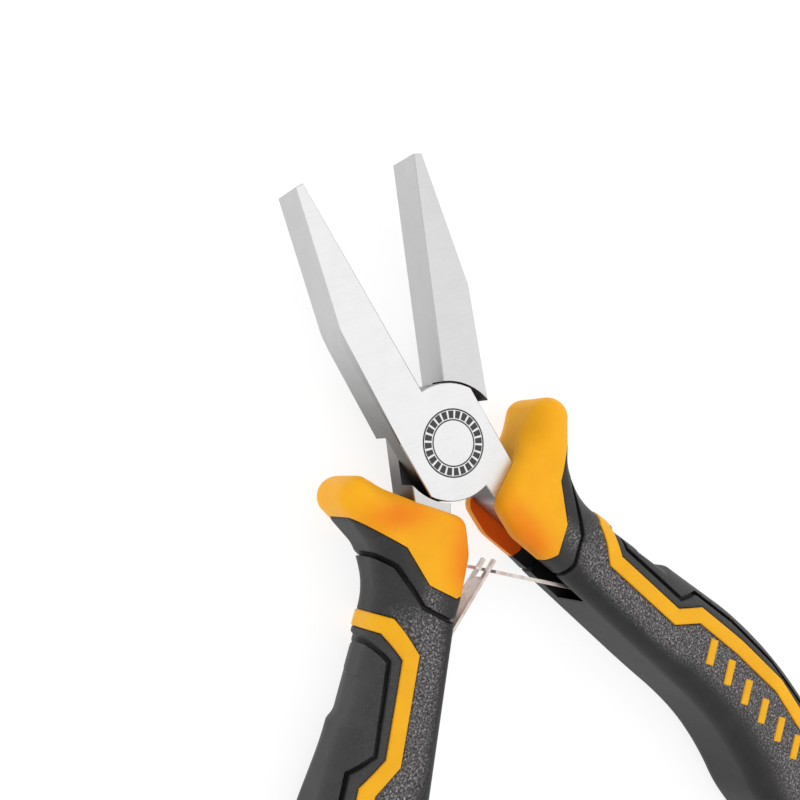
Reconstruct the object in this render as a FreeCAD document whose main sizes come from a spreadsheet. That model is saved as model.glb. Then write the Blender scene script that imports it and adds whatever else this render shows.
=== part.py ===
import FreeCAD, Part
import math
import os
import Sketcher

# Flat nose pliers with sprung, two-colour grips. Millimetres.
#
# Each half is drawn as if the pliers were closed: +Y towards the jaw tips, +Z towards the front
# face, the pivot axis on Z and the middle of the steel at z = 0. The front half has the left jaw
# and the right handle. The rear half is the same forging turned over about Y, so it has the right
# jaw and the left handle. A piece's Placement then swings its half open about the pivot and lifts
# the whole until the joint's back face is at z = 0.

SIZES = {
    # steel halves
    "steel_thickness": 6.0,
    "half_open_deg": 12.4,
    "face_gap": 0.05,
    "joint_radius": 7.5,
    "joint_half_width": 6.2,
    "joint_gap": 0.2,
    "lap_gap": 0.04,
    "jaw_length": 36.6,
    "tip_width": 1.25,
    "kink_half_width": 6.0,
    "kink_height": 17.6,
    "tang_inner_start": 1.2,
    "edge_break": 0.12,
    # the bevel along the outer edge, which is widest at the kink and runs out at the joint
    "bevel_top": 20.0,
    "bevel_top_across": 5.43,
    "bevel_top_depth": 1.3,
    "bevel_foot": 3.5,
    "bevel_foot_across": 6.1,
    "bevel_foot_depth": 0.15,
    # pivot pin
    "pin_radius": 2.2,
    "pin_running_gap": 0.04,
    "pin_head_radius": 3.4,
    "pin_head_height": 0.9,
    "pin_head_gap": 0.08,
    "pin_skin": 0.9,
    # spring leaves
    "leaf_root_x": 8.9,
    "leaf_root_y": -29.9,
    "leaf_rise_deg": 33.0,
    "leaf_thickness": 0.4,
    "leaf_width": 4.0,
    "bead_radius": 0.6,
    "bead_gap": 0.1,
    "notch_length": 6.5,
    "notch_low_deg": 96.0,
    "notch_high_deg": 158.0,
    "fork_base": 16.8,
    "fork_length": 19.6,
    "fork_slot_half": 0.95,
    "fork_tip_half": 1.7,
    "neck_start": 17.0,
    "neck_half": 0.65,
    "neck_end": 19.1,
    "tongue_length": 19.9,
    "tongue_taper_half": 1.7,
    "head_half": 1.45,
    # grips
    "grip_thickness": 12.0,
    "grip_edge_radius": 2.2,
    "guard_corner_radius": 2.4,
    "core_wall": 1.1,
    "inlay_width": 2.3,
    "bar_count": 6,
    "bar_length": 3.2,
    "bar_width": 1.3,
    "bar_lean_deg": -25.0,
}

# Corner points of the outlines. The sheet keeps each as NAME_x and NAME_y.
POINTS = {
    # the steel tang inside the grip, down its inner side and up its outer side
    "tang_in_neck": (1.6, -10.5),
    "tang_in_slot": (8.5, -31.0),
    "tang_in_bow": (13.8, -45.0),
    "tang_in_low": (15.4, -56.0),
    "tang_in_end": (17.2, -68.0),
    "tang_out_end": (22.6, -68.0),
    "tang_out_low": (23.2, -56.0),
    "tang_out_bow": (20.6, -45.0),
    "tang_out_slot": (15.6, -31.0),
    "tang_out_mid": (9.8, -16.0),
    "tang_out_neck": (7.3, -10.5),
    "tang_out_start": (6.2, -7.3),
    # the grip's outline: the guard, its flared thumb stop, the neck and the bowed palm
    "guard_inner": (0.6, -9.6),
    "guard_top": (6.4, -6.7),
    "stop_top": (12.72, -2.6),
    "stop_outer": (15.7, -6.8),
    "neck_top": (12.2, -11.2),
    "neck_low": (12.5, -16.0),
    "palm_top": (24.5, -42.8),
    "palm_out": (29.0, -61.0),
    "end_out": (25.6, -75.5),
    "end_in": (14.4, -76.0),
    "palm_in": (12.6, -67.1),
    "bow_in": (10.6, -44.6),
    "slot_in": (3.4, -22.0),
    "guard_low": (0.7, -14.0),
    # the border between guard and sleeve, from the outer side to the inner side
    "border_out": (17.5, -4.7),
    "border_step": (9.4, -11.8),
    "border_waist": (7.1, -16.9),
    "border_low": (3.8, -19.2),
    "border_in": (1.2, -19.0),
    # the lower lip of the slot in the grip's inner side, where the leaf moves
    "slot_mouth": (3.0, -26.4),
    # the inlay's centre line, from the outer side to the end
    "inlay_start": (15.8, -19.4),
    "inlay_wrap": (13.4, -20.6),
    "inlay_shoulder": (12.2, -21.2),
    "inlay_bend": (10.9, -25.3),
    "inlay_turn": (15.05, -36.6),
    "inlay_step": (19.0, -40.2),
    "inlay_bow": (21.8, -46.7),
    "inlay_palm": (24.5, -55.7),
    "inlay_low": (25.2, -64.5),
    "inlay_end": (23.4, -70.5),
    # the row of slanted bars
    "bars_start": (17.2, -44.4),
    "bars_end": (21.6, -64.6),
}

# Radii of the bowed sides of the grip and of the rounded end of its thumb stop.
BOWS = {
    "palm_bow": 62.0,
    "heel_bow": 24.0,
    "end_bow": 6.2,
    "inner_heel_bow": 40.0,
    "inner_bow": 48.0,
    "stop_bow": 2.6,
}

SHEET = "Dims"
BULGES_LEFT = 1
BULGES_RIGHT = -1
CLEAR = 3.0
OVERSHOOT = 2.0
TOUCHING = 1e-3
LEVEL = 1e-6

doc = FreeCAD.newDocument("flat_nose_pliers")
size = dict(SIZES)
size.update(BOWS)
for point_name, (point_x, point_y) in POINTS.items():
    size[point_name + "_x"] = point_x
    size[point_name + "_y"] = point_y


def build_sheet():
    """Every driving dimension is a plain number in the sheet, with a word for its alias."""
    sheet = doc.addObject("Spreadsheet::Sheet", SHEET)
    for row, (name, value) in enumerate(size.items(), start=1):
        sheet.set(f"A{row}", name)
        sheet.set(f"B{row}", str(value))
        sheet.setAlias(f"B{row}", name)
    doc.recompute()


def cell(name):
    return f"{SHEET}.{name}"


# ---- corners: two values, each with the expression that binds it to the sheet ----

def corner(x_value, x_cell, y_value, y_cell):
    return {"x": x_value, "x_cell": x_cell, "y": y_value, "y_cell": y_cell}


def at(name, shift_name=None, sign=1):
    """A named point, moved along X by a named size where one is given."""
    x_value = size[name + "_x"]
    x_cell = cell(name + "_x")
    if shift_name:
        x_value += sign * size[shift_name]
        x_cell += f" + {sign} * {cell(shift_name)}"
    return corner(x_value, x_cell, size[name + "_y"], cell(name + "_y"))


def spot(x_name, x_sign, y_name, y_sign=1):
    """A corner whose distances from the axes are two named sizes, each with its sign."""
    return corner(x_sign * size[x_name], f"{x_sign} * {cell(x_name)}",
                  y_sign * size[y_name], f"{y_sign} * {cell(y_name)}")


def on_joint(x_name, x_sign, y_sign):
    """A corner on the joint's circle, at a named distance from the Y axis."""
    height = math.sqrt(size["joint_radius"] ** 2 - size[x_name] ** 2)
    height_cell = f"{y_sign} * sqrt({cell('joint_radius')}^2 - {cell(x_name)}^2)"
    return corner(x_sign * size[x_name], f"{x_sign} * {cell(x_name)}", y_sign * height, height_cell)


def free(x_value, y_value):
    """A corner out in the open, where only its being clear of the solid matters."""
    return corner(x_value, str(x_value), y_value, str(y_value))


# ---- sketches and features ----

def arc_between(start, end, radius, side):
    """The arc of this radius between two corners, which bulges left or right on the way."""
    first = FreeCAD.Vector(start["x"], start["y"], 0)
    last = FreeCAD.Vector(end["x"], end["y"], 0)
    half = (last - first) / 2
    left = FreeCAD.Vector(-half.y, half.x, 0).normalize()
    back = math.sqrt(radius ** 2 - half.Length ** 2)
    centre = first + half - left * (side * back)
    spokes = (last - centre, first - centre) if side == BULGES_LEFT else (first - centre, last - centre)
    begin, finish = (math.atan2(spoke.y, spoke.x) for spoke in spokes)
    if finish < begin:
        finish += 2 * math.pi
    circle = Part.Circle(centre, FreeCAD.Vector(0, 0, 1), radius)
    return Part.ArcOfCircle(circle, begin, finish)


def attach(body, sketch, role, lift, lift_cell):
    plane = next(feature for feature in body.Origin.OriginFeatures if feature.Role == role)
    sketch.AttachmentSupport = (plane, [""])
    sketch.MapMode = "FlatFace"
    sketch.AttachmentOffset = FreeCAD.Placement(FreeCAD.Vector(0, 0, lift), FreeCAD.Rotation())
    if lift_cell:
        sketch.setExpression("AttachmentOffset.Base.z", lift_cell)


def bind(sketch, constraint, name, expression):
    index = sketch.addConstraint(constraint)
    sketch.renameConstraint(index, name)
    sketch.setExpression("Constraints." + name, expression)


def draw(body, name, corners, arcs=None, role="XY_Plane", lift=0.0, lift_cell=None):
    """A closed outline. The side that starts at corner i is straight, unless arcs has an entry
    for i: the name of its radius and the way it bulges."""
    arcs = arcs or {}
    sketch = body.newObject("Sketcher::SketchObject", name)
    attach(body, sketch, role, lift, lift_cell)
    ends = []
    for i, start in enumerate(corners):
        end = corners[(i + 1) % len(corners)]
        if i in arcs:
            radius_name, side = arcs[i]
            sketch.addGeometry(arc_between(start, end, size[radius_name], side), False)
            ends.append((2, 1) if side == BULGES_LEFT else (1, 2))
            bind(sketch, Sketcher.Constraint("Radius", i, size[radius_name]), f"radius_{i}",
                 cell(radius_name))
        else:
            sketch.addGeometry(Part.LineSegment(FreeCAD.Vector(start["x"], start["y"], 0),
                                                FreeCAD.Vector(end["x"], end["y"], 0)), False)
            ends.append((1, 2))
    for i, here in enumerate(corners):
        start_end = ends[i][0]
        before = i - 1 if i else len(corners) - 1
        sketch.addConstraint(Sketcher.Constraint("Coincident", before, ends[before][1], i, start_end))
        bind(sketch, Sketcher.Constraint("DistanceX", -1, 1, i, start_end, here["x"]), f"across_{i}",
             here["x_cell"])
        bind(sketch, Sketcher.Constraint("DistanceY", -1, 1, i, start_end, here["y"]), f"along_{i}",
             here["y_cell"])
    return sketch


def draw_circle(body, name, radius, radius_cell, centre=(0.0, 0.0), lift=0.0, lift_cell=None):
    sketch = body.newObject("Sketcher::SketchObject", name)
    attach(body, sketch, "XY_Plane", lift, lift_cell)
    middle = FreeCAD.Vector(centre[0], centre[1], 0)
    sketch.addGeometry(Part.Circle(middle, FreeCAD.Vector(0, 0, 1), radius), False)
    bind(sketch, Sketcher.Constraint("Radius", 0, radius), "radius", radius_cell)
    return sketch


def pad(body, sketch, thickness, thickness_cell):
    """A pad that reaches as far in front of its sketch as behind it."""
    feature = body.newObject("PartDesign::Pad", sketch.Name + "_pad")
    feature.Profile = sketch
    feature.Midplane = True
    feature.Length = thickness
    feature.setExpression("Length", thickness_cell)
    doc.recompute()
    return feature


def pocket(body, sketch, depth=None, depth_cell=None, forwards=False, both_ways=False):
    """A cut from the sketch towards -Z, or towards +Z where it runs forwards."""
    before = body.Shape.Volume
    feature = body.newObject("PartDesign::Pocket", sketch.Name + "_cut")
    feature.Profile = sketch
    feature.Reversed = forwards
    feature.Midplane = both_ways
    if depth is None:
        feature.Type = "ThroughAll"
    else:
        feature.Length = depth
        feature.setExpression("Length", depth_cell)
    doc.recompute()
    if body.Shape.Volume >= before:
        raise ValueError(sketch.Name + " cuts nothing")
    return feature


def edges_where(shape, test):
    return [f"Edge{i}" for i, edge in enumerate(shape.Edges, start=1) if test(edge)]


def round_edges(body, base, kind, edges, value_name):
    """A fillet or a chamfer along these edges of the base feature."""
    feature = body.newObject("PartDesign::" + kind, f"{base.Name}_{kind.lower()}")
    feature.Base = (base, edges)
    prop = "Radius" if kind == "Fillet" else "Size"
    setattr(feature, prop, size[value_name])
    feature.setExpression(prop, cell(value_name))
    doc.recompute()
    return feature


def stands(edge):
    """True for an edge that runs along Z."""
    box = edge.BoundBox
    return box.XLength < LEVEL and box.YLength < LEVEL


def lies_flat(edge):
    """True for an edge that stays at one height."""
    return edge.BoundBox.ZLength < LEVEL


# ---- placements ----

def half_placement(front):
    """The front half swings to the left about the pivot, and the turned rear half to the right."""
    lift = FreeCAD.Vector(0, 0, size["steel_thickness"] / 2)
    swing = size["half_open_deg"] if front else -size["half_open_deg"]
    turn = FreeCAD.Rotation(FreeCAD.Vector(0, 0, 1), swing)
    if not front:
        turn = turn * FreeCAD.Rotation(FreeCAD.Vector(0, 1, 0), 180)
    return FreeCAD.Placement(lift, turn)


def leaf_placement(front):
    """A leaf's root goes to its notch in the tang, and the leaf points at the middle line."""
    root = half_placement(front).multVec(FreeCAD.Vector(size["leaf_root_x"], size["leaf_root_y"], 0))
    rise = size["leaf_rise_deg"]
    angle = 180 - rise if front else rise
    return FreeCAD.Placement(root, FreeCAD.Rotation(FreeCAD.Vector(0, 0, 1), angle))


def set_place(piece, placement):
    """The lift stays bound to the sheet; the turn is the half's own."""
    piece.Placement = placement
    piece.setExpression("Placement.Base.z", f"{cell('steel_thickness')} / 2")


# ---- steel ----

def tang_corners():
    inner = [at(name) for name in ("tang_in_neck", "tang_in_slot", "tang_in_bow", "tang_in_low",
                                   "tang_in_end")]
    outer = [at(name) for name in ("tang_out_end", "tang_out_low", "tang_out_bow", "tang_out_slot",
                                   "tang_out_mid", "tang_out_neck", "tang_out_start")]
    return inner, outer


def steel_blank(body, name):
    """Jaw, joint and tang as one flat forging, its edges lightly broken."""
    inner, outer = tang_corners()
    corners = [spot("face_gap", -1, "jaw_length"),
               spot("tip_width", -1, "jaw_length"),
               spot("kink_half_width", -1, "kink_height"),
               on_joint("joint_half_width", -1, 1),
               on_joint("joint_half_width", -1, -1),
               on_joint("tang_inner_start", 1, -1)]
    corners += inner + outer
    corners += [on_joint("joint_half_width", 1, 1), on_joint("face_gap", -1, 1)]
    foot_of_disc = 4
    top_of_disc = len(corners) - 2
    arcs = {foot_of_disc: ("joint_radius", BULGES_RIGHT), top_of_disc: ("joint_radius", BULGES_RIGHT)}
    blank = pad(body, draw(body, name + "_outline", corners, arcs), size["steel_thickness"],
                cell("steel_thickness"))
    rims = edges_where(blank.Shape, lies_flat)
    return round_edges(body, blank, "Chamfer", rims, "edge_break")


def cut_bevel(body, name, face):
    """The long bevel on one face's outer edge: a wedge lofted from the kink down to the joint."""
    sections = []
    for place in ("bevel_top", "bevel_foot"):
        across = size[place + "_across"]
        depth = size[place + "_depth"]
        face_height = face * size["steel_thickness"] / 2
        side = size["joint_half_width"]
        run = (side - across, depth)
        outer = -across - OVERSHOOT * run[0]
        above = face_height + face * run[1]
        corners = [free(-across + run[0], above),
                   free(outer, face_height - face * OVERSHOOT * run[1]),
                   free(outer, above)]
        sections.append(draw(body, f"{name}_{place}", corners, role="XZ_Plane", lift=-size[place],
                             lift_cell=f"-{cell(place)}"))
    loft = body.newObject("PartDesign::SubtractiveLoft", name)
    loft.Profile = sections[0]
    loft.Sections = [sections[1]]
    loft.Ruled = True
    doc.recompute()


def cut_lap(body, name):
    """Behind the middle plane the joint leaves room for the other half's lap."""
    circle = draw_circle(body, name + "_lap", size["joint_radius"] + size["joint_gap"],
                         f"{cell('joint_radius')} + {cell('joint_gap')}",
                         lift=size["lap_gap"] / 2, lift_cell=f"{cell('lap_gap')} / 2")
    pocket(body, circle)


def cut_leaf_notch(body, name):
    """A round seat for the leaf's bead and a flared mouth that lets the leaf swing."""
    root = (size["leaf_root_x"], size["leaf_root_y"])
    seat = draw_circle(body, name + "_seat", size["bead_radius"] + size["bead_gap"],
                       f"{cell('bead_radius')} + {cell('bead_gap')}", centre=root)
    pocket(body, seat, both_ways=True)
    mouth = [free(*root)]
    for angle_name in ("notch_low_deg", "notch_high_deg"):
        angle = math.radians(size[angle_name])
        mouth.append(free(root[0] + size["notch_length"] * math.cos(angle),
                          root[1] + size["notch_length"] * math.sin(angle)))
    pocket(body, draw(body, name + "_mouth", mouth), both_ways=True)


def cut_front_bore(body, name):
    """The pin is pressed into a blind bore, so the front face shows no pin."""
    bore = draw_circle(body, name + "_bore", size["pin_radius"], cell("pin_radius"))
    pocket(body, bore, size["steel_thickness"] / 2 - size["pin_skin"],
           f"{cell('steel_thickness')} / 2 - {cell('pin_skin')}", forwards=True)


def cut_rear_bore(body, name):
    """The pin runs in a through bore, and its head sits in a counterbore."""
    face = size["steel_thickness"] / 2
    face_cell = f"{cell('steel_thickness')} / 2"
    bore = draw_circle(body, name + "_bore", size["pin_radius"] + size["pin_running_gap"],
                       f"{cell('pin_radius')} + {cell('pin_running_gap')}", lift=face, lift_cell=face_cell)
    pocket(body, bore)
    seat = draw_circle(body, name + "_counterbore", size["pin_head_radius"] + size["pin_head_gap"],
                       f"{cell('pin_head_radius')} + {cell('pin_head_gap')}", lift=face,
                       lift_cell=face_cell)
    pocket(body, seat, size["pin_head_height"] + size["pin_running_gap"],
           f"{cell('pin_head_height')} + {cell('pin_running_gap')}")


def build_steel_half(name, front):
    body = doc.addObject("PartDesign::Body", name)
    steel_blank(body, name)
    cut_bevel(body, name + "_front_bevel", 1)
    cut_bevel(body, name + "_back_bevel", -1)
    cut_lap(body, name)
    cut_leaf_notch(body, name)
    if front:
        cut_front_bore(body, name)
    else:
        cut_rear_bore(body, name)
    set_place(body, half_placement(front))
    return body


def build_pivot_pin(name):
    """A headed pin: flush in the back face, and pressed into the front half."""
    body = doc.addObject("PartDesign::Body", name)
    back = size["steel_thickness"] / 2
    back_cell = f"-{cell('steel_thickness')} / 2"
    head = size["pin_head_height"]
    tip = back - size["pin_skin"]
    profile = [corner(0.0, "0", -back, back_cell),
               corner(size["pin_head_radius"], cell("pin_head_radius"), -back, back_cell),
               corner(size["pin_head_radius"], cell("pin_head_radius"), head - back,
                      f"{back_cell} + {cell('pin_head_height')}"),
               corner(size["pin_radius"], cell("pin_radius"), head - back,
                      f"{back_cell} + {cell('pin_head_height')}"),
               corner(size["pin_radius"], cell("pin_radius"), tip,
                      f"{cell('steel_thickness')} / 2 - {cell('pin_skin')}"),
               corner(0.0, "0", tip, f"{cell('steel_thickness')} / 2 - {cell('pin_skin')}")]
    sketch = draw(body, name + "_profile", profile, role="XZ_Plane")
    turned = body.newObject("PartDesign::Revolution", name + "_turned")
    turned.Profile = sketch
    turned.ReferenceAxis = (sketch, ["V_Axis"])
    turned.Angle = 360
    doc.recompute()
    set_place(body, FreeCAD.Placement(FreeCAD.Vector(0, 0, back), FreeCAD.Rotation()))
    return body


# ---- spring ----

def build_leaf(name, front, edge):
    """A flat leaf seen from its broad side, edge being its upper outline from root to tip, with a
    bead rolled at its root."""
    body = doc.addObject("PartDesign::Body", name)
    lower = [corner(c["x"], c["x_cell"], -c["y"], f"-1 * ({c['y_cell']})") for c in reversed(edge)]
    sketch = draw(body, name + "_outline", edge + lower, role="XZ_Plane")
    pad(body, sketch, size["leaf_thickness"], cell("leaf_thickness"))
    bead = draw_circle(body, name + "_bead", size["bead_radius"], cell("bead_radius"))
    pad(body, bead, size["leaf_width"], cell("leaf_width"))
    set_place(body, leaf_placement(front))
    return body


def fork_edge():
    """Half of the forked leaf: its outer edge, a prong, and one side of the slot."""
    half_width = size["leaf_width"] / 2
    return [corner(0.0, "0", half_width, f"{cell('leaf_width')} / 2"),
            spot("fork_length", 1, "fork_tip_half"),
            spot("fork_length", 1, "fork_slot_half"),
            spot("fork_base", 1, "fork_slot_half")]


def tongue_edge():
    """Half of the tongue leaf: its outer edge, the narrow neck, and the head that holds it."""
    half_width = size["leaf_width"] / 2
    return [corner(0.0, "0", half_width, f"{cell('leaf_width')} / 2"),
            spot("neck_start", 1, "tongue_taper_half"),
            spot("neck_start", 1, "neck_half"),
            spot("neck_end", 1, "neck_half"),
            spot("neck_end", 1, "head_half"),
            spot("tongue_length", 1, "head_half")]


# ---- grips ----

def prism(name, corners, thickness, thickness_cell, arcs=None):
    """A flat solid with this outline, centred on the middle plane."""
    body = doc.addObject("PartDesign::Body", name)
    pad(body, draw(body, name + "_outline", corners, arcs), thickness, thickness_cell)
    return body


def grip_block(name):
    """Guard and sleeve as one solid: the bowed outline with all its edges rounded."""
    corners = [at(point) for point in (
        "guard_inner", "guard_low", "slot_in", "bow_in", "palm_in", "end_in", "end_out", "palm_out",
        "palm_top", "neck_low", "neck_top", "stop_outer", "stop_top", "guard_top")]
    arcs = {3: ("inner_bow", BULGES_LEFT),
            4: ("inner_heel_bow", BULGES_RIGHT),
            5: ("end_bow", BULGES_RIGHT),
            6: ("heel_bow", BULGES_RIGHT),
            7: ("palm_bow", BULGES_RIGHT),
            11: ("stop_bow", BULGES_RIGHT)}
    body = prism(name, corners, size["grip_thickness"], cell("grip_thickness"), arcs)
    block = body.Tip
    rounded = [(size[point + "_x"], size[point + "_y"])
               for point in ("guard_inner", "neck_top")]

    def is_rounded(edge):
        start = edge.Vertexes[0].Point
        return stands(edge) and any(math.hypot(start.x - x, start.y - y) < TOUCHING for x, y in rounded)

    smooth = round_edges(body, block, "Fillet", edges_where(block.Shape, is_rounded),
                         "guard_corner_radius")
    rims = edges_where(smooth.Shape, lies_flat)
    round_edges(body, smooth, "Fillet", rims, "grip_edge_radius")
    return body


def guard_region(name):
    """Everything on the guard's side of the border."""
    corners = [at(point) for point in ("border_in", "border_low", "border_waist", "border_step",
                                       "border_out")]
    right = size["stop_outer_x"] + CLEAR
    top = size["stop_top_y"] + CLEAR
    left = size["guard_inner_x"] - CLEAR
    corners += [free(right, size["border_out_y"]), free(right, top), free(left, top),
                free(left, size["border_in_y"])]
    return prism(name, corners, size["grip_thickness"] + CLEAR, f"{cell('grip_thickness')} + {CLEAR}")


def channel(name):
    """The room for the tang, and the slot that opens it to the inner side for the leaf."""
    inner, outer = tang_corners()
    left = size["guard_inner_x"] - CLEAR
    top = size["tang_out_start_y"] + CLEAR
    corners = [free(left, top), free(left, size["slot_mouth_y"]), at("slot_mouth")]
    corners += inner[1:] + outer + [free(size["tang_out_start_x"], top)]
    return prism(name, corners, size["steel_thickness"], cell("steel_thickness"))


def tube(name):
    """The core's wall around the tang, under the sleeve."""
    wall = "core_wall"
    corners = [at("tang_in_neck", wall, -1), at("tang_in_slot", wall, -1), at("tang_in_bow", wall, -1),
               at("tang_in_low", wall, -1), at("tang_in_end", wall, -1), at("tang_out_end", wall),
               at("tang_out_low", wall), at("tang_out_bow", wall), at("tang_out_slot", wall),
               at("tang_out_mid", wall)]
    return prism(name, corners, size["steel_thickness"] + 2 * size["core_wall"],
                 f"{cell('steel_thickness')} + 2 * {cell('core_wall')}")


def band(points, width):
    """A strip of this width along the points, with mitred corners."""
    half = width / 2
    left_side = []
    right_side = []
    for i, here in enumerate(points):
        runs = []
        if i:
            runs.append((here - points[i - 1]).normalize())
        if i < len(points) - 1:
            runs.append((points[i + 1] - here).normalize())
        along = FreeCAD.Vector(0, 0, 0)
        for run in runs:
            along += run
        along.normalize()
        across = FreeCAD.Vector(-along.y, along.x, 0)
        reach = half / abs(along.dot(runs[0]))
        left_side.append(here + across * reach)
        right_side.append(here - across * reach)
    outline = left_side + right_side[::-1]
    return Part.Face(Part.makePolygon(outline + outline[:1]))


def named_points(*names):
    return [FreeCAD.Vector(size[name + "_x"], size[name + "_y"], 0) for name in names]


def bar_faces():
    """A row of short slanted bars across the palm."""
    start, end = named_points("bars_start", "bars_end")
    step = (end - start) / (size["bar_count"] - 1)
    along = FreeCAD.Vector(step.x, step.y, 0).normalize()
    across = FreeCAD.Vector(-along.y, along.x, 0)
    lean = math.tan(math.radians(size["bar_lean_deg"]))
    reach = (across + along * lean) * (size["bar_length"] / 2)
    faces = []
    for i in range(size["bar_count"]):
        middle = start + step * i
        faces.append(band([middle - reach, middle + reach], size["bar_width"]))
    return faces


def upright(face, floor, height):
    """The prism over a face in the middle plane, from one height up or down by another."""
    base = face.copy()
    base.translate(FreeCAD.Vector(0, 0, floor))
    return base.extrude(FreeCAD.Vector(0, 0, height))


def raised_marks(faces):
    """Prisms over the marks, on the front face and on the back face alike."""
    floor = size["steel_thickness"] / 2 + size["core_wall"]
    height = size["grip_thickness"] / 2 + CLEAR - floor
    solids = []
    for face in faces:
        solids.append(upright(face, floor, height))
        solids.append(upright(face, -floor, -height))
    return solids


def inlay_solid():
    """The zigzag line on both faces, joined across the grip's outer side, where it starts."""
    names = ("inlay_start", "inlay_shoulder", "inlay_bend", "inlay_turn", "inlay_step", "inlay_bow",
             "inlay_palm", "inlay_low", "inlay_end")
    front, back = raised_marks([band(named_points(*names), size["inlay_width"])])
    height = size["grip_thickness"] + CLEAR
    wrap = upright(band(named_points("inlay_start", "inlay_wrap"), size["inlay_width"]),
                   -height / 2, height)
    return front.fuse([wrap, back])


def loose_shape(name, shape):
    feature = doc.addObject("Part::Feature", name)
    feature.Shape = shape
    return feature


def boolean(kind, name, base, tool):
    feature = doc.addObject("Part::" + kind, name)
    feature.Base = base
    feature.Tool = tool
    doc.recompute()
    return feature


def build_grip(side, front):
    """Core with guard, sleeve, inlay and bars, cut from one block so that they meet exactly."""
    block = grip_block(side + "_block")
    guard = guard_region(side + "_guard_region")
    room = channel(side + "_channel")
    wall = tube(side + "_tube")
    inlay_marks = loose_shape(side + "_inlay_marks", inlay_solid())
    bar_marks = loose_shape(side + "_bar_marks", Part.Compound(raised_marks(bar_faces())))

    guard_solid = boolean("Common", side + "_guard", block, guard)
    core_whole = boolean("Fuse", side + "_core_whole", guard_solid, wall)
    core = boolean("Cut", side + "_grip_core", core_whole, room)

    below_guard = boolean("Cut", side + "_below_guard", block, guard)
    around_core = boolean("Cut", side + "_around_core", below_guard, wall)
    around_tang = boolean("Cut", side + "_around_tang", around_core, room)
    inlay = boolean("Common", side + "_grip_inlay", around_tang, inlay_marks)
    bars = boolean("Common", side + "_grip_bars", around_tang, bar_marks)
    less_inlay = boolean("Cut", side + "_less_inlay", around_tang, inlay_marks)
    sleeve = boolean("Cut", side + "_grip_sleeve", less_inlay, bar_marks)
    pieces = [core, sleeve, inlay, bars]
    for piece in pieces:
        set_place(piece, half_placement(front))
    return pieces


# ---- the whole ----

def build():
    build_sheet()
    pieces = [build_steel_half("front_half", True),
              build_steel_half("rear_half", False),
              build_pivot_pin("pivot_pin"),
              build_leaf("tongue_leaf", True, tongue_edge()),
              build_leaf("fork_leaf", False, fork_edge())]
    pieces += build_grip("right", True)
    pieces += build_grip("left", False)
    doc.recompute()
    return pieces


def check(pieces):
    for item in doc.Objects:
        if "Invalid" in item.State or "Error" in item.State:
            raise ValueError(f"{item.Name}: {item.State}")
    for piece in pieces:
        if piece.Shape.isNull() or not piece.Shape.isValid():
            raise ValueError(piece.Label + " has no valid shape")


def write(pieces):
    os.makedirs("parts", exist_ok=True)
    for piece in pieces:
        piece.Shape.exportStep(f"parts/{piece.Label}.step")
        print(piece.Label, len(piece.Shape.Solids), "solid(s)", round(piece.Shape.Volume, 1), "mm3")


all_pieces = build()
check(all_pieces)
write(all_pieces)
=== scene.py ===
import math

import bpy
import numpy as np
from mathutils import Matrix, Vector


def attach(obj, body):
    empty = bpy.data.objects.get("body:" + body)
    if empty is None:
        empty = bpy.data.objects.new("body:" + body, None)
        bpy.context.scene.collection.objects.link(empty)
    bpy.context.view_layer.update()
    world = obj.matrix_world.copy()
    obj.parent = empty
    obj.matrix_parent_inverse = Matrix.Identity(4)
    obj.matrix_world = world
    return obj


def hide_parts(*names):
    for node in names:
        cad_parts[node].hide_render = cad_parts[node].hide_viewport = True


# Flat nose pliers. The steel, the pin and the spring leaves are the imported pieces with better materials.
# The grips are built here. They are worked out in millimetres as if the pliers were closed: +Y towards
# the jaw tips, the pivot on Z, z = 0 in the middle of the steel, and the handle at positive x. A turn and
# a lift then put them on their half.

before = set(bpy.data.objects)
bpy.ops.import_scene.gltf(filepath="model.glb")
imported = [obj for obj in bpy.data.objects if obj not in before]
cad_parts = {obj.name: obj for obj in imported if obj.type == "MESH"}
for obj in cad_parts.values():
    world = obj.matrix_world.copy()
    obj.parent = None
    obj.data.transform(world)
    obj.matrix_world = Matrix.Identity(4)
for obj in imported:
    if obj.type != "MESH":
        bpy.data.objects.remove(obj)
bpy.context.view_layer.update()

MM = 0.001
STEEL = 6.0
HALF_OPEN = math.radians(12.4)
GRIP_HALF = 6.0
STRETCH = 0.022               # the right grip is this much longer and the left one shorter
STRETCH_FADES = (45.0, 79.0)  # from here to here down the handle the stretch dies away

# ---- outlines, in millimetres ----

P = {
    "guard_inner": (0.4, -9.7),
    "guard_low": (0.55, -14.4),
    "slot_in": (3.4, -22.0),
    "bow_in": (10.6, -44.6),
    "palm_in": (13.2, -67.1),
    "end_in": (14.4, -76.0),
    "end_out": (25.6, -75.5),
    "palm_out": (29.0, -61.0),
    "palm_top": (24.7, -42.7),
    "neck_low": (12.5, -17.0),
    "neck_top": (12.85, -11.3),
    "stop_outer": (15.7, -6.8),
    "stop_top": (12.72, -2.6),
    "guard_top": (6.4, -6.8),
}
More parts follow.
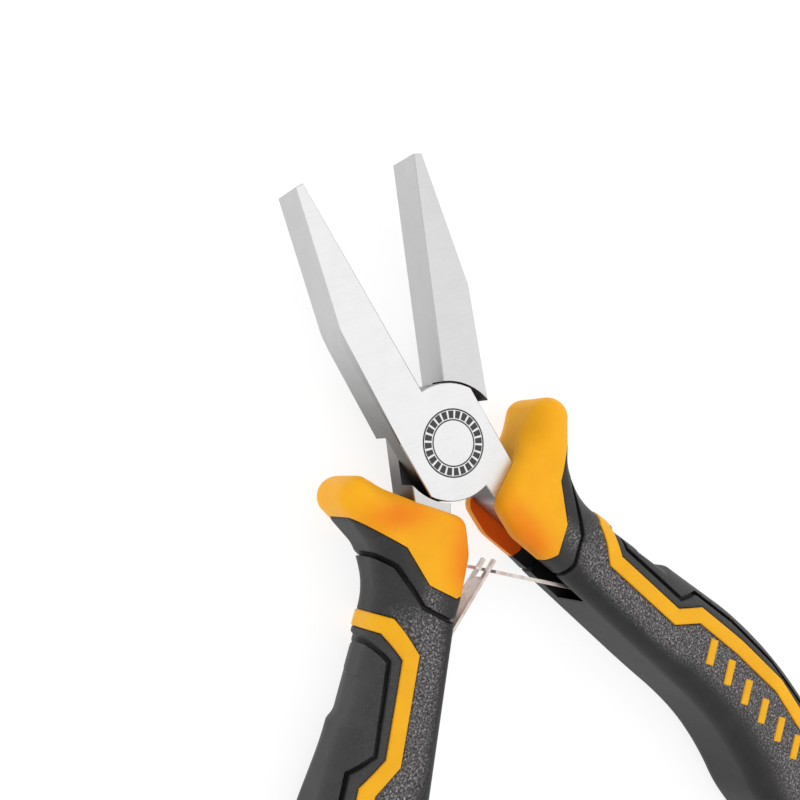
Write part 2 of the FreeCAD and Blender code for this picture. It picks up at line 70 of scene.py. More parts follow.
# corner, radius of the side that starts there, and +1 where it bulges outwards
SIDES = (
    ("guard_inner", 0, 0), ("guard_low", 0, 0), ("slot_in", 0, 0), ("bow_in", 48.0, -1),
    ("palm_in", 40.0, 1), ("end_in", 6.2, 1), ("end_out", 24.0, 1), ("palm_out", 62.0, 1),
    ("palm_top", 0, 0), ("neck_low", 0, 0), ("neck_top", 0, 0), ("stop_outer", 2.6, 1),
    ("stop_top", 0, 0), ("guard_top", 0, 0),
)
SOFT_CORNERS = {"guard_inner": 2.2, "neck_top": 3.4, "neck_low": 9.0, "slot_in": 9.0, "guard_low": 4.0,
                "bow_in": 12.0, "palm_in": 22.0, "guard_top": 3.0}
BORDER = ((17.5, -5.5), (9.4, -11.8), (7.1, -16.9), (3.8, -19.2), (-2.0, -18.8))
TANG_IN = ((1.6, -10.5), (8.5, -31.0), (13.8, -45.0), (15.4, -56.0), (17.2, -68.0))
TANG_OUT = ((22.6, -68.0), (23.2, -56.0), (20.6, -45.0), (15.6, -31.0), (9.8, -16.0), (7.3, -10.5),
            (6.2, -7.3))
SLOT_MOUTH = (3.0, -25.4)
GROOVE_COLLAR = ((15.6, -11.6), (12.6, -12.3), (10.8, -13.9), (8.3, -19.4), (5.2, -21.7), (0.0, -23.2))
GROOVE_PANEL = ((18.6, -20.4), (15.3, -21.3), (13.5, -25.0), (17.0, -35.4), (20.2, -36.8), (23.1, -43.4),
                (25.9, -52.7), (26.9, -61.5), (26.0, -68.5), (23.4, -73.6))
INLAY = ((16.9, -18.9), (12.75, -20.9), (10.85, -25.0), (14.95, -36.8), (18.6, -39.2), (21.65, -46.7),
         (24.5, -55.7), (25.1, -64.5), (23.6, -70.5))
INLAY_HALF = 1.08
CUTS = (0.9, 0.45)            # how far the outline's corners are cut, first and second time
GROOVE_DEPTH, SEAM_DEPTH, BORDER_DEPTH = 0.5, 0.16, 0.14
REST_DEPTHS = (0.55, 0.45)    # the finger rest's two steps
INLAY_STANDS, INLAY_THICK = 0.16, 1.15
BARS_STAND, BARS_THICK = 0.2, 1.0
# half way between the grip's inner and outer sides, from the top down
MIDDLE = ((8.5, -3.0), (6.6, -10.0), (7.2, -16.0), (9.4, -22.0), (17.8, -44.5), (20.6, -61.0),
          (20.2, -80.0))
MIDDLE_BLEND = 2.5
BARS_START, BARS_END = (17.2, -44.2), (21.9, -65.0)
BAR_COUNT, BAR_LENGTH, BAR_WIDTH, BAR_LEAN = 6, 3.2, 1.3, math.radians(-25)


def arc_points(a, b, radius, bulge, turn=5.0):
    """Points of the arc from a to b, without b. bulge is +1 where the arc lies to the right on the way."""
    a, b = np.array(a), np.array(b)
    half = (b - a) / 2
    reach = np.hypot(*half)
    left = np.array((-half[1], half[0])) / reach
    centre = a + half + left * bulge * math.sqrt(max(radius ** 2 - reach ** 2, 0))
    start, end = (math.atan2(*(p - centre)[::-1]) for p in (a, b))
    sweep = (end - start + math.pi) % (2 * math.pi) - math.pi
    count = max(2, int(abs(math.degrees(sweep)) / turn) + 1)
    angles = start + sweep * np.arange(count) / count
    return [tuple(centre + radius * np.array((math.cos(t), math.sin(t)))) for t in angles]


def soften(points, index, radius, steps=6):
    """The points of a rounded corner that stand for points[index]."""
    here = np.array(points[index])
    before, after = np.array(points[index - 1]), np.array(points[(index + 1) % len(points)])
    run_in, run_out = before - here, after - here
    long_in, long_out = np.hypot(*run_in), np.hypot(*run_out)
    run_in, run_out = run_in / long_in, run_out / long_out
    half_angle = math.acos(max(-1.0, min(1.0, float(run_in @ run_out)))) / 2
    reach = min(radius / math.tan(half_angle), 0.45 * long_in, 0.45 * long_out)
    start, end = here + run_in * reach, here + run_out * reach
    t = np.linspace(0, 1, steps)[:, None]
    return [tuple(q) for q in (1 - t) ** 2 * start + 2 * t * (1 - t) * here + t ** 2 * end]


def cut_corners(points, reach):
    """Each corner gives way to two, a quarter of each side from it or the reach if that is less."""
    cut = []
    for other in (np.roll(points, 1, axis=0), np.roll(points, -1, axis=0)):
        length = np.hypot(*(other - points).T)[:, None]
        cut.append(points + (other - points) * np.minimum(0.25, reach / length))
    return np.stack(cut, 1).reshape(-1, 2)


def grip_outline():
    corners = [P[name] for name, _, _ in SIDES]
    points = []
    for i, (name, radius, bulge) in enumerate(SIDES):
        after = corners[(i + 1) % len(corners)]
        if radius:
            points += arc_points(corners[i], after, radius, bulge)
        else:
            points.append(corners[i])
    rounded = []
    for i, point in enumerate(points):
        name = next((n for n, where in P.items() if where == point and n in SOFT_CORNERS), None)
        if name:
            rounded += soften(points, i, SOFT_CORNERS[name])
        else:
            rounded.append(point)
    shape = np.array(rounded)
    for reach in CUTS:
        shape = cut_corners(shape, reach)
    return shape


def mitred(points, half):
    """The outline of a band along the points, with mitred corners."""
    points = np.array(points)
    left, right = [], []
    for i, here in enumerate(points):
        runs = []
        if i:
            runs.append((here - points[i - 1]) / np.hypot(*(here - points[i - 1])))
        if i < len(points) - 1:
            runs.append((points[i + 1] - here) / np.hypot(*(points[i + 1] - here)))
        along = sum(runs)
        along = along / np.hypot(*along)
        across = np.array((-along[1], along[0])) * half / abs(float(along @ runs[0]))
        left.append(here + across)
        right.append(here - across)
    return np.array(left + right[::-1])


# ---- distances in the plan, in millimetres ----

def line_distance(x, y, points, closed):
    best = np.full(x.shape, 1e9)
    inside = np.zeros(x.shape, bool)
    ends = list(zip(points, list(points[1:]) + [points[0]])) if closed else list(zip(points, points[1:]))
    for (ax, ay), (bx, by) in ends:
        dx, dy = bx - ax, by - ay
        t = np.clip(((x - ax) * dx + (y - ay) * dy) / (dx * dx + dy * dy), 0, 1)
        best = np.minimum(best, (x - ax - t * dx) ** 2 + (y - ay - t * dy) ** 2)
        if closed:
            crosses = (ay > y) != (by > y)
            inside ^= crosses & (x < ax + (y - ay) * dx / (dy if dy else 1e-12))
    best = np.sqrt(best)
    return np.where(inside, -best, best) if closed else best


def ease(low, high, value):
    t = np.clip((value - low) / (high - low), 0, 1)
    return t * t * (3 - 2 * t)


class Plan2D:
    """A signed distance kept on a fine grid and read by interpolation."""

    def __init__(self, points, low, high, step):
        self.low, self.step = np.array(low), step
        self.count = [int(math.ceil((h - l) / step)) + 1 for l, h in zip(low, high)]
        xs = low[0] + step * np.arange(self.count[0])
        ys = low[1] + step * np.arange(self.count[1])
        x, y = np.meshgrid(xs, ys, indexing="ij")
        self.grid = line_distance(x, y, points, True)

    def __call__(self, x, y):
        u = np.clip((x - self.low[0]) / self.step, 0, self.count[0] - 1.001)
        v = np.clip((y - self.low[1]) / self.step, 0, self.count[1] - 1.001)
        i, j = u.astype(int), v.astype(int)
        u, v = u - i, v - j
        g = self.grid
        return ((1 - u) * ((1 - v) * g[i, j] + v * g[i, j + 1])
                + u * ((1 - v) * g[i + 1, j] + v * g[i + 1, j + 1]))


LOW, HIGH, PLAN_STEP = (-1.5, -82.0), (31.5, -1.0), 0.1
INWARDS, OUTWARDS, ABOVE = -9.0, 40.0, 5.0    # well clear of the grip
outline = Plan2D(grip_outline(), LOW, HIGH, PLAN_STEP)
guard_area = np.array(BORDER[::-1] + ((OUTWARDS, BORDER[0][1]), (OUTWARDS, ABOVE), (INWARDS, ABOVE),
                                      (INWARDS, BORDER[-1][1])))
channel_area = np.array(((INWARDS, 0.0), (INWARDS, SLOT_MOUTH[1]), SLOT_MOUTH) + TANG_IN[1:] + TANG_OUT
                        + ((TANG_OUT[-1][0], 0.0),))
inlay_area = mitred(INLAY, INLAY_HALF)
outer_area = np.array(INLAY + ((OUTWARDS, -75.0), (OUTWARDS, -18.0)))


def bar_areas():
    start, end = np.array(BARS_START), np.array(BARS_END)
    step = (end - start) / (BAR_COUNT - 1)
    along = step / np.hypot(*step)
    across = np.array((-along[1], along[0]))
    reach = (across + along * math.tan(BAR_LEAN)) * BAR_LENGTH / 2
    return [mitred((start + step * i - reach, start + step * i + reach), BAR_WIDTH / 2)
            for i in range(BAR_COUNT)]


def plan(x, y, wanted):
    """What the solids need to know at a place in the plan: distances, and shares from 0 to 1."""
    facts = {"x": x, "y": y, "outline": outline(x, y), "border": -line_distance(x, y, guard_area, True)}
    facts["guardness"] = ease(-4.0, 0.5, facts["border"])
    middle_x, middle_y = np.array(MIDDLE).T
    facts["outer"] = ease(-MIDDLE_BLEND, MIDDLE_BLEND, x - np.interp(-y, -middle_y, middle_x))
    if "grooves" in wanted:
        facts["collar"] = line_distance(x, y, GROOVE_COLLAR, False)
        facts["panel"] = line_distance(x, y, GROOVE_PANEL, False)
        facts["inlay"] = line_distance(x, y, inlay_area, True)
    if "channel" in wanted:
        facts["channel"] = line_distance(x, y, channel_area, True)
    if "inlay" in wanted:
        facts["inlay"] = line_distance(x, y, inlay_area, True)
    if "bars" in wanted:
        facts["bars"] = np.min([line_distance(x, y, area, True) for area in bar_areas()], axis=0)
    return facts


def patch(x, y, centre, reach):
    """A soft round patch: 1 at its centre, fading to 0."""
    return np.exp(-(((x - centre[0]) / reach[0]) ** 2 + ((y - centre[1]) / reach[1]) ** 2))


# ---- solids: negative inside ----

def rim_radius(facts, front):
    """The rims on the inner side are tight, most of all behind. On the outer side the front rim is broad,
    and the back rim is tight along the palm."""
    outer, guard = facts["outer"], facts["guardness"]
    palm = ease(-33.0, -44.0, facts["y"])
    # the thumb stop rolls over further where it leans towards the joint
    lean = 1.9 * patch(facts["x"], facts["y"], (9.4, -3.5), (2.8, 2.3))
    if front:
        sleeve = 2.6 + outer * (2.1 - 0.1 * palm)
        shell = 1.8 + 1.1 * outer + lean
    else:
        inner = 1.2 + 1.4 * ease(-40.0, -56.0, facts["y"])
        sleeve = inner + outer * (5.0 - 2.4 * palm - inner)
        shell = 2.2 + 1.3 * outer + lean
    return sleeve + (shell - sleeve) * guard


def skin(facts, z):
    """The grip's outer surface: the outline with round rims."""
    radius = np.where(z > 0, rim_radius(facts, True), rim_radius(facts, False))
    half = GRIP_HALF - 0.35 * patch(facts["x"], facts["y"], (9.3, -7.2), (1.9, 2.6))
    a = facts["outline"] + radius
    b = np.abs(z) - (half - radius)
    return (np.minimum(np.maximum(a, b), 0)
            + np.hypot(np.maximum(a, 0), np.maximum(b, 0)) - radius)


def channel(facts, z):
    return np.maximum(facts["channel"], np.abs(z) - (STEEL / 2 + 0.01))


def grooves(facts):
    """How far the sleeve's surface is cut in, by grooves, seams and the finger rest outside."""
    collar = GROOVE_DEPTH * (1 - ease(0.16, 0.36, facts["collar"]))
    panel = GROOVE_DEPTH * (1 - ease(0.14, 0.34, facts["panel"]))
    seam = SEAM_DEPTH * (1 - ease(0.02, 0.16, np.abs(facts["inlay"])))
    border = BORDER_DEPTH * ease(-0.22, -0.05, facts["border"])
    x, y = facts["x"], facts["y"]
    outside = ease(-2.4, -1.0, x + 0.448 * y - 5.34)
    rest = (REST_DEPTHS[0] * ease(-21.9, -22.7, y) * ease(-32.2, -31.4, y)
            + REST_DEPTHS[1] * ease(-26.5, -27.0, y) * ease(-31.9, -31.1, y)) * outside
    return collar + panel + seam + border + rest


def sleeve_solid(facts, z):
    body = skin(facts, z) + grooves(facts)
    return np.maximum(np.maximum(body, -channel(facts, z)), facts["border"] + 0.01)


def guard_solid(facts, z):
    return np.maximum(np.maximum(skin(facts, z), -channel(facts, z)), -facts["border"])


def soft_max(a, b, k):
    h = np.maximum(k - np.abs(a - b), 0) / k
    return np.maximum(a, b) + h * h * k / 4


def inlay_solid(facts, z):
    top = skin(facts, z) - INLAY_STANDS
    return np.maximum(soft_max(top, facts["inlay"] + 0.03, 0.22), -(top + INLAY_THICK))


def bars_solid(facts, z):
    top = skin(facts, z) - BARS_STAND
    return np.maximum(soft_max(top, facts["bars"], 0.25), -(top + BARS_THICK))


# ---- surface of a solid: dual contouring ----

def contour(solid, wanted, low, high, step):
    """Vertices and quads of the surface where solid is 0. Sharp edges stay sharp."""
    low = np.array(low, float)
    count = [int(math.ceil((h - l) / step)) + 1 for l, h in zip(low, high)]
    axes = [low[i] + step * np.arange(count[i]) for i in range(3)]
    x, y = np.meshgrid(axes[0], axes[1], indexing="ij")
    facts = {k: v[:, :, None] for k, v in plan(x, y, wanted).items()}
    values = solid(facts, axes[2][None, None, :])
    solid_here = values < 0
    shape = np.array(values.shape) - 1

    def value_at(points):
        return solid(plan(points[:, 0], points[:, 1], wanted), points[:, 2])

    def gradient(points):
        eps = 0.02
        base = value_at(points)
        columns = []
        for axis in range(3):
            moved = points.copy()
            moved[:, axis] += eps
            other = points.copy()
            other[:, axis] -= eps
            columns.append((value_at(moved) - value_at(other)) / (2 * eps))
        slope = np.stack(columns, 1)
        return base, slope

    crossings, cells, quads = [], [], []
    for axis in range(3):
        lower = [slice(None)] * 3
        upper = [slice(None)] * 3
        lower[axis], upper[axis] = slice(None, -1), slice(1, None)
        a, b = solid_here[tuple(lower)], solid_here[tuple(upper)]
        index = np.argwhere(a != b)
        va = values[tuple(lower)][tuple(index.T)]
        vb = values[tuple(upper)][tuple(index.T)]
        start = low + step * index
        unit = np.zeros(3)
        unit[axis] = step
        t0, t1, f0, f1 = np.zeros(len(va)), np.ones(len(va)), va, vb
        for _ in range(2):
            t = t0 + (t1 - t0) * f0 / (f0 - f1)
            t = np.clip(t, t0 + 0.02 * (t1 - t0), t1 - 0.02 * (t1 - t0))
            f = value_at(start + t[:, None] * unit)
            same = (f < 0) == (f0 < 0)
            t0, f0 = np.where(same, t, t0), np.where(same, f, f0)
            t1, f1 = np.where(same, t1, t), np.where(same, f1, f)
        t = t0 + (t1 - t0) * f0 / (f0 - f1)
        points = start + t[:, None] * unit
        u, v = (axis + 1) % 3, (axis + 2) % 3
        corner_ids = []
        for du, dv in ((-1, -1), (0, -1), (0, 0), (-1, 0)):
            cell = index.copy()
            cell[:, u] += du
            cell[:, v] += dv
            corner_ids.append((cell[:, 0] * shape[1] + cell[:, 1]) * shape[2] + cell[:, 2])
        corner_ids = np.stack(corner_ids, 1)
        leaves = solid_here[tuple(lower)][tuple(index.T)]
        quads.append(np.where(leaves[:, None], corner_ids, corner_ids[:, ::-1]))
        crossings.append(points)
        cells.append(corner_ids)
    crossings = np.concatenate(crossings)
    cells = np.concatenate(cells)
    quads = np.concatenate(quads)
    _, slope = gradient(crossings)
    normal = slope / np.maximum(np.linalg.norm(slope, axis=1, keepdims=True), 1e-9)
    ids, inverse = np.unique(cells.ravel(), return_inverse=True)
    inverse = inverse.ravel()
    edge = np.repeat(np.arange(len(cells)), 4)

    def summed(weights):
        return np.bincount(inverse, weights=weights[edge], minlength=len(ids))

    number = np.bincount(inverse, minlength=len(ids)).astype(float)
    mass = np.stack([summed(crossings[:, i]) for i in range(3)], 1) / number[:, None]
    dots = np.einsum("ij,ij->i", normal, crossings)
    matrix = np.empty((len(ids), 3, 3))
    right = np.empty((len(ids), 3))
    for i in range(3):
        right[:, i] = summed(normal[:, i] * dots)
        for j in range(3):
            matrix[:, i, j] = summed(normal[:, i] * normal[:, j])
    right -= np.einsum("nij,nj->ni", matrix, mass)
    matrix += 0.04 * np.eye(3)
    place = mass + np.linalg.solve(matrix, right[:, :, None])[:, :, 0]
    cell_low = low + step * np.stack(np.unravel_index(ids, tuple(shape)), 1)
    place = np.clip(place, cell_low - 0.1 * step, cell_low + 1.1 * step)
    base, slope = gradient(place)
    move = base[:, None] * slope / np.maximum((slope ** 2).sum(1, keepdims=True), 0.25)
    place -= np.clip(move, -0.15 * step, 0.15 * step)
    return place, np.searchsorted(ids, quads)


def placed_on(points, front):
    """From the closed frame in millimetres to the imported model's frame in metres. The left grip is the
    right one's mirror image. STRETCH lets the grips differ a little in length, as they seem to."""
    x, y, z = points.T
    y = y * (1 + (STRETCH if front else -STRETCH) * (1 - ease(*STRETCH_FADES, -y)))
    c, s = math.cos(HALF_OPEN), math.sin(HALF_OPEN)
    across, along = x * c - y * s, x * s + y * c
    return np.stack([across if front else -across, along, z + STEEL / 2], 1) * MM


SHARP_DEGREES = 38


def quad_mesh(name, points, quads, attributes, front):
    """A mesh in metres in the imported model's frame, from millimetres in the closed frame."""
    placed = placed_on(points, front)
    if not front:
        quads = quads[:, ::-1]
    mesh = bpy.data.meshes.new(name)
    mesh.vertices.add(len(placed))
    mesh.vertices.foreach_set("co", placed.astype(np.float32).ravel())
    mesh.loops.add(quads.size)
    mesh.loops.foreach_set("vertex_index", quads.astype(np.int32).ravel())
    mesh.polygons.add(len(quads))
    mesh.polygons.foreach_set("loop_start", np.arange(0, quads.size, quads.shape[1], dtype=np.int32))
    mesh.polygons.foreach_set("use_smooth", np.ones(len(quads), bool))
    for key, values in attributes.items():
        layer = mesh.attributes.new(key, "FLOAT", "POINT")
        layer.data.foreach_set("value", values.astype(np.float32))
    mesh.update(calc_edges=True)
    mesh.validate()
    mesh.set_sharp_from_angle(angle=math.radians(SHARP_DEGREES))
    return mesh


def add(name, mesh, material):
    obj = bpy.data.objects.new(name, mesh)
    bpy.context.scene.collection.objects.link(obj)
    mesh.materials.append(material)
    return obj


# ---- materials ----

def new_material(name):
    material = bpy.data.materials.new(name)
    material.use_nodes = True
    nodes = material.node_tree.nodes
    shader = nodes["Principled BSDF"]
    return material, nodes, material.node_tree.links, shader


def coordinates(nodes, links, scale=(1, 1, 1), rotation=(0, 0, 0)):
    """Object coordinates in metres, stretched for a grain."""
    place = nodes.new("ShaderNodeTexCoord")
    mapping = nodes.new("ShaderNodeMapping")
    mapping.inputs["Scale"].default_value = scale
    mapping.inputs["Rotation"].default_value = rotation
    links.new(place.outputs["Object"], mapping.inputs["Vector"])
    return mapping.outputs["Vector"]


def noise(nodes, links, vector, scale, detail=3.0, roughness=0.55):
    node = nodes.new("ShaderNodeTexNoise")
    node.inputs["Scale"].default_value = scale
    node.inputs["Detail"].default_value = detail
    node.inputs["Roughness"].default_value = roughness
    links.new(vector, node.inputs["Vector"])
    return node.outputs["Fac"]


def ramp(nodes, links, value, stops):
    node = nodes.new("ShaderNodeValToRGB")
    node.color_ramp.elements[0].position = stops[0][0]
    node.color_ramp.elements[0].color = (*stops[0][1], 1)
    node.color_ramp.elements[1].position = stops[-1][0]
    node.color_ramp.elements[1].color = (*stops[-1][1], 1)
    for where, colour in stops[1:-1]:
        node.color_ramp.elements.new(where).color = (*colour, 1)
    links.new(value, node.inputs["Fac"])
    return node.outputs["Color"]


def maths(nodes, links, kind, a, b=None):
    node = nodes.new("ShaderNodeMath")
    node.operation = kind
    for socket, value in zip(node.inputs, (a, b)):
        if value is None:
            continue
        if isinstance(value, (int, float)):
            socket.default_value = value
        else:
            links.new(value, socket)
    return node.outputs["Value"]


def mix(nodes, links, factor, a, b, kind="MIX"):
    node = nodes.new("ShaderNodeMix")
    node.data_type = "RGBA"
    node.blend_type = kind
    sockets = [s for s in node.inputs if s.enabled]
    for socket, value in zip(sockets, (factor, a, b)):
        if isinstance(value, (int, float)):
            socket.default_value = value
        elif isinstance(value, tuple):
            socket.default_value = (*value, 1)
        else:
            links.new(value, socket)
    return next(o for o in node.outputs if o.enabled)


def spread(nodes, links, value, low, high):
    node = nodes.new("ShaderNodeMapRange")
    node.inputs["To Min"].default_value = low
    node.inputs["To Max"].default_value = high
    links.new(value, node.inputs["Value"])
    return node.outputs["Result"]


def bump(nodes, links, shader, height, distance, strength=1.0):
    node = nodes.new("ShaderNodeBump")
    node.inputs["Strength"].default_value = strength
    node.inputs["Distance"].default_value = distance
    links.new(height, node.inputs["Height"])
    links.new(node.outputs["Normal"], shader.inputs["Normal"])


def attribute(nodes, name):
    node = nodes.new("ShaderNodeAttribute")
    node.attribute_name = name
    return node.outputs["Fac"]


def remap(nodes, links, value, low, high, to_low, to_high):
    node = nodes.new("ShaderNodeMapRange")
    node.interpolation_type = "SMOOTHSTEP"
    for name, number in (("From Min", low), ("From Max", high), ("To Min", to_low), ("To Max", to_high)):
        node.inputs[name].default_value = number
    links.new(value, node.inputs["Value"])
    return node.outputs["Result"]


def steel_material(name, colour, rough, grind_angle, stain=0.0, painted_shading=None):
    """Fine ground steel with painted shade. The painted shading argument gives the heights along the jaw
    between which its sides go from dark to bright, and how bright they get; below the joint they are
    brighter again.
    The hollow beside the joint and the tang's buried end are painted dark too, as painted shade."""
    material, nodes, links, shader = new_material(name)
    shader.inputs["Metallic"].default_value = 1.0
    along = coordinates(nodes, links, (420, 9000, 2600), (0, 0, grind_angle))
    plain = coordinates(nodes, links)
    grind = noise(nodes, links, along, 1.0, 4.0, 0.6)
    cloud = noise(nodes, links, plain, 420.0, 4.0, 0.6)
    speck = noise(nodes, links, plain, 5200.0, 2.0, 0.5)
    tone = maths(nodes, links, "ADD", maths(nodes, links, "MULTIPLY", grind, 0.55),
                 maths(nodes, links, "MULTIPLY", cloud, 0.45))
    darker = tuple(c * 0.93 for c in colour)
    lighter = tuple(min(1.0, c * 1.05) for c in colour)
    base = ramp(nodes, links, tone, ((0.32, darker), (0.52, colour), (0.7, lighter)))
    if stain:
        patch = ramp(nodes, links, noise(nodes, links, plain, 900.0, 3.0, 0.6),
                     ((0.42, (0, 0, 0)), (0.62, (stain, stain, stain))))
        base = mix(nodes, links, patch, base, (0.34, 0.23, 0.17))
    if painted_shading:
        place = nodes.new("ShaderNodeTexCoord")
        facing, where = nodes.new("ShaderNodeSeparateXYZ"), nodes.new("ShaderNodeSeparateXYZ")
        links.new(place.outputs["Normal"], facing.inputs["Vector"])
        links.new(place.outputs["Object"], where.inputs["Vector"])
        upright = maths(nodes, links, "ABSOLUTE", facing.outputs["Z"])
        sideways = remap(nodes, links, upright, 0.55, 0.8, 1, 0)
        drift = maths(nodes, links, "MULTIPLY", cloud, 0.003)
        wander = maths(nodes, links, "ADD", where.outputs["Y"], drift)
        low, high, bright = painted_shading
        # painted shade: the steel's sides are painted dark towards the joint and brighter again along the
        # tang below it
        painted_side_shade = maths(nodes, links, "MAXIMUM", remap(nodes, links, wander, low, high, 0.20, bright),
                    remap(nodes, links, where.outputs["Y"], -0.0105, -0.0085, 0.72, 0.20))
        side = mix(nodes, links, 1.0, base, painted_side_shade, "MULTIPLY")
        base = mix(nodes, links, sideways, base, side)
        # painted shade: flat faces of the steel lower than 3.4 mm near the joint, meant for the hollow of
        # the lap, are painted near black; this also darkens the joint's back face
        painted_hollow_shade = remap(nodes, links, where.outputs["Z"], 0.0034, 0.0050, 0.10, 1.0)
        near = remap(nodes, links, where.outputs["Y"], 0.0095, 0.0125, 0.0, 1.0)
        lit = maths(nodes, links, "MAXIMUM", maths(nodes, links, "MAXIMUM", painted_hollow_shade, near), sideways)
        base = mix(nodes, links, 1.0, base, lit, "MULTIPLY")
        # painted shade: the tang is painted near black where it goes down into the grip
        painted_tang_shade = remap(nodes, links, where.outputs["Y"], -0.0202, -0.0186, 0.05, 1.0)
        base = mix(nodes, links, 1.0, base, painted_tang_shade, "MULTIPLY")
    links.new(base, shader.inputs["Base Color"])
    links.new(spread(nodes, links, tone, rough - 0.05, rough + 0.07), shader.inputs["Roughness"])
    height = maths(nodes, links, "ADD", maths(nodes, links, "MULTIPLY", grind, 0.7),
                   maths(nodes, links, "MULTIPLY", speck, 0.5))
    bump(nodes, links, shader, height, 0.000009, 0.5)
    return material


def guard_material(name, colour, painted_shade, fine=1.0):
    """Satin moulded plastic: warm orange with a fine matt grain, painted a deeper orange as painted shade
    in its hollows and soft patches.
    """
    material, nodes, links, shader = new_material(name)
    plain = coordinates(nodes, links)
    cloud = noise(nodes, links, plain, 260.0, 3.0, 0.55)
    grain = noise(nodes, links, plain, 5600.0, 2.0, 0.5)
    even = ramp(nodes, links, cloud, ((0.3, tuple(c * 0.93 for c in colour)),
                                      (0.7, tuple(min(1.0, c * 1.05) for c in colour))))
    links.new(mix(nodes, links, attribute(nodes, "painted_shade"), even, painted_shade), shader.inputs["Base Color"])
    links.new(spread(nodes, links, grain, 0.46, 0.58), shader.inputs["Roughness"])
    shader.inputs["Specular IOR Level"].default_value = 0.22
    shader.inputs["Subsurface Weight"].default_value = 0.18
    shader.inputs["Subsurface Radius"].default_value = (1.0, 0.35, 0.05)
    shader.inputs["Subsurface Scale"].default_value = 0.0016
    height = maths(nodes, links, "ADD", grain, maths(nodes, links, "MULTIPLY", cloud, 0.6))
    bump(nodes, links, shader, height, 0.00003 * fine, 0.6)
    return material


def sleeve_material(name):
    """Soft black plastic with a leather grain, coarse along the middle of each face. The outer side is
    painted paler than the inner side as painted light, and the grain carries painted highlights and
    painted shade.
    """
    material, nodes, links, shader = new_material(name)
    plain = coordinates(nodes, links)
    cells = nodes.new("ShaderNodeTexVoronoi")
    cells.feature = "SMOOTH_F1"
    cells.inputs["Scale"].default_value = 3000.0
    cells.inputs["Smoothness"].default_value = 0.5
    warp = nodes.new("ShaderNodeVectorMath")
    warp.operation = "MULTIPLY_ADD"
    bend = nodes.new("ShaderNodeTexNoise")
    bend.inputs["Scale"].default_value = 2200.0
    bend.inputs["Detail"].default_value = 2.0
    links.new(plain, bend.inputs["Vector"])
    links.new(bend.outputs["Color"], warp.inputs[0])
    warp.inputs[1].default_value = (0.0003, 0.0003, 0.0003)
    links.new(plain, warp.inputs[2])
    links.new(warp.outputs["Vector"], cells.inputs["Vector"])
    pebble = cells.outputs["Distance"]
    grain = noise(nodes, links, plain, 5200.0, 3.0, 0.6)
    painted_glints = noise(nodes, links, plain, 3900.0, 2.0, 0.65)
    cloud = noise(nodes, links, plain, 330.0, 4.0, 0.6)
    coarse = attribute(nodes, "coarse")
    painted_groove_shade = attribute(nodes, "painted_groove_shade")
    # painted light: the outer side is painted paler than the inner side
    inner = ramp(nodes, links, cloud, ((0.3, (0.018, 0.018, 0.018)), (0.7, (0.025, 0.025, 0.025))))
    outer = ramp(nodes, links, cloud, ((0.3, (0.036, 0.036, 0.036)), (0.7, (0.047, 0.047, 0.047))))
    fine = mix(nodes, links, attribute(nodes, "painted_outer_light"), inner, outer)
    fine = mix(nodes, links, 1.0, fine, ramp(nodes, links, grain, ((0.35, (0.85, 0.85, 0.85)),
                                                                  (0.68, (1.25, 1.25, 1.25)))), "MULTIPLY")
    # painted highlights: the coarse grain's bright flecks stand for glints of light
    rough = ramp(nodes, links, painted_glints, ((0.36, (0.034, 0.031, 0.032)), (0.50, (0.14, 0.130, 0.132)),
                                       (0.60, (0.28, 0.260, 0.263)), (0.70, (0.50, 0.47, 0.47))))
    # painted shade: the pebbles' creases are painted darker
    painted_crease_shade = ramp(nodes, links, pebble, ((0.25, (1.1, 1.1, 1.1)), (0.62, (0.45, 0.45, 0.45))))
    rough = mix(nodes, links, 1.0, rough, painted_crease_shade, "MULTIPLY")
    colour = mix(nodes, links, coarse, fine, rough)
    # painted shade: the grooves and seams are painted near black
    links.new(mix(nodes, links, painted_groove_shade, colour, (0.005, 0.005, 0.005)), shader.inputs["Base Color"])
    links.new(spread(nodes, links, grain, 0.46, 0.62), shader.inputs["Roughness"])
    shader.inputs["Specular IOR Level"].default_value = 0.26
    high = maths(nodes, links, "MULTIPLY", coarse, maths(nodes, links, "MULTIPLY", pebble, -1.6))
    height = maths(nodes, links, "ADD", high, maths(nodes, links, "MULTIPLY", grain, 0.42))
    bump(nodes, links, shader, height, 0.00009, 0.8)
    return material


def print_material(name):
    material, nodes, links, shader = new_material(name)
    plain = coordinates(nodes, links)
    wear = noise(nodes, links, plain, 3800.0, 3.0, 0.6)
    links.new(ramp(nodes, links, wear, ((0.3, (0.022, 0.022, 0.023)), (0.75, (0.05, 0.05, 0.052)))),
              shader.inputs["Base Color"])
    links.new(spread(nodes, links, wear, 0.4, 0.6), shader.inputs["Roughness"])
    return material


def floor_material(name):
    material, nodes, links, shader = new_material(name)
    plain = coordinates(nodes, links)
    cloud = noise(nodes, links, plain, 40.0, 3.0, 0.5)
    links.new(ramp(nodes, links, cloud, ((0.3, (0.24, 0.24, 0.24)), (0.7, (0.26, 0.26, 0.26)))),
              shader.inputs["Base Color"])
    shader.inputs["Roughness"].default_value = 0.9
    shader.inputs["Specular IOR Level"].default_value = 0.1
    shader.inputs["Emission Color"].default_value = (1, 1, 1, 1)
    shader.inputs["Emission Strength"].default_value = 0.82
    return material


steel = steel_material("steel", (0.67, 0.67, 0.67), 0.36, math.radians(12), painted_shading=(0.001, 0.022, 0.84))
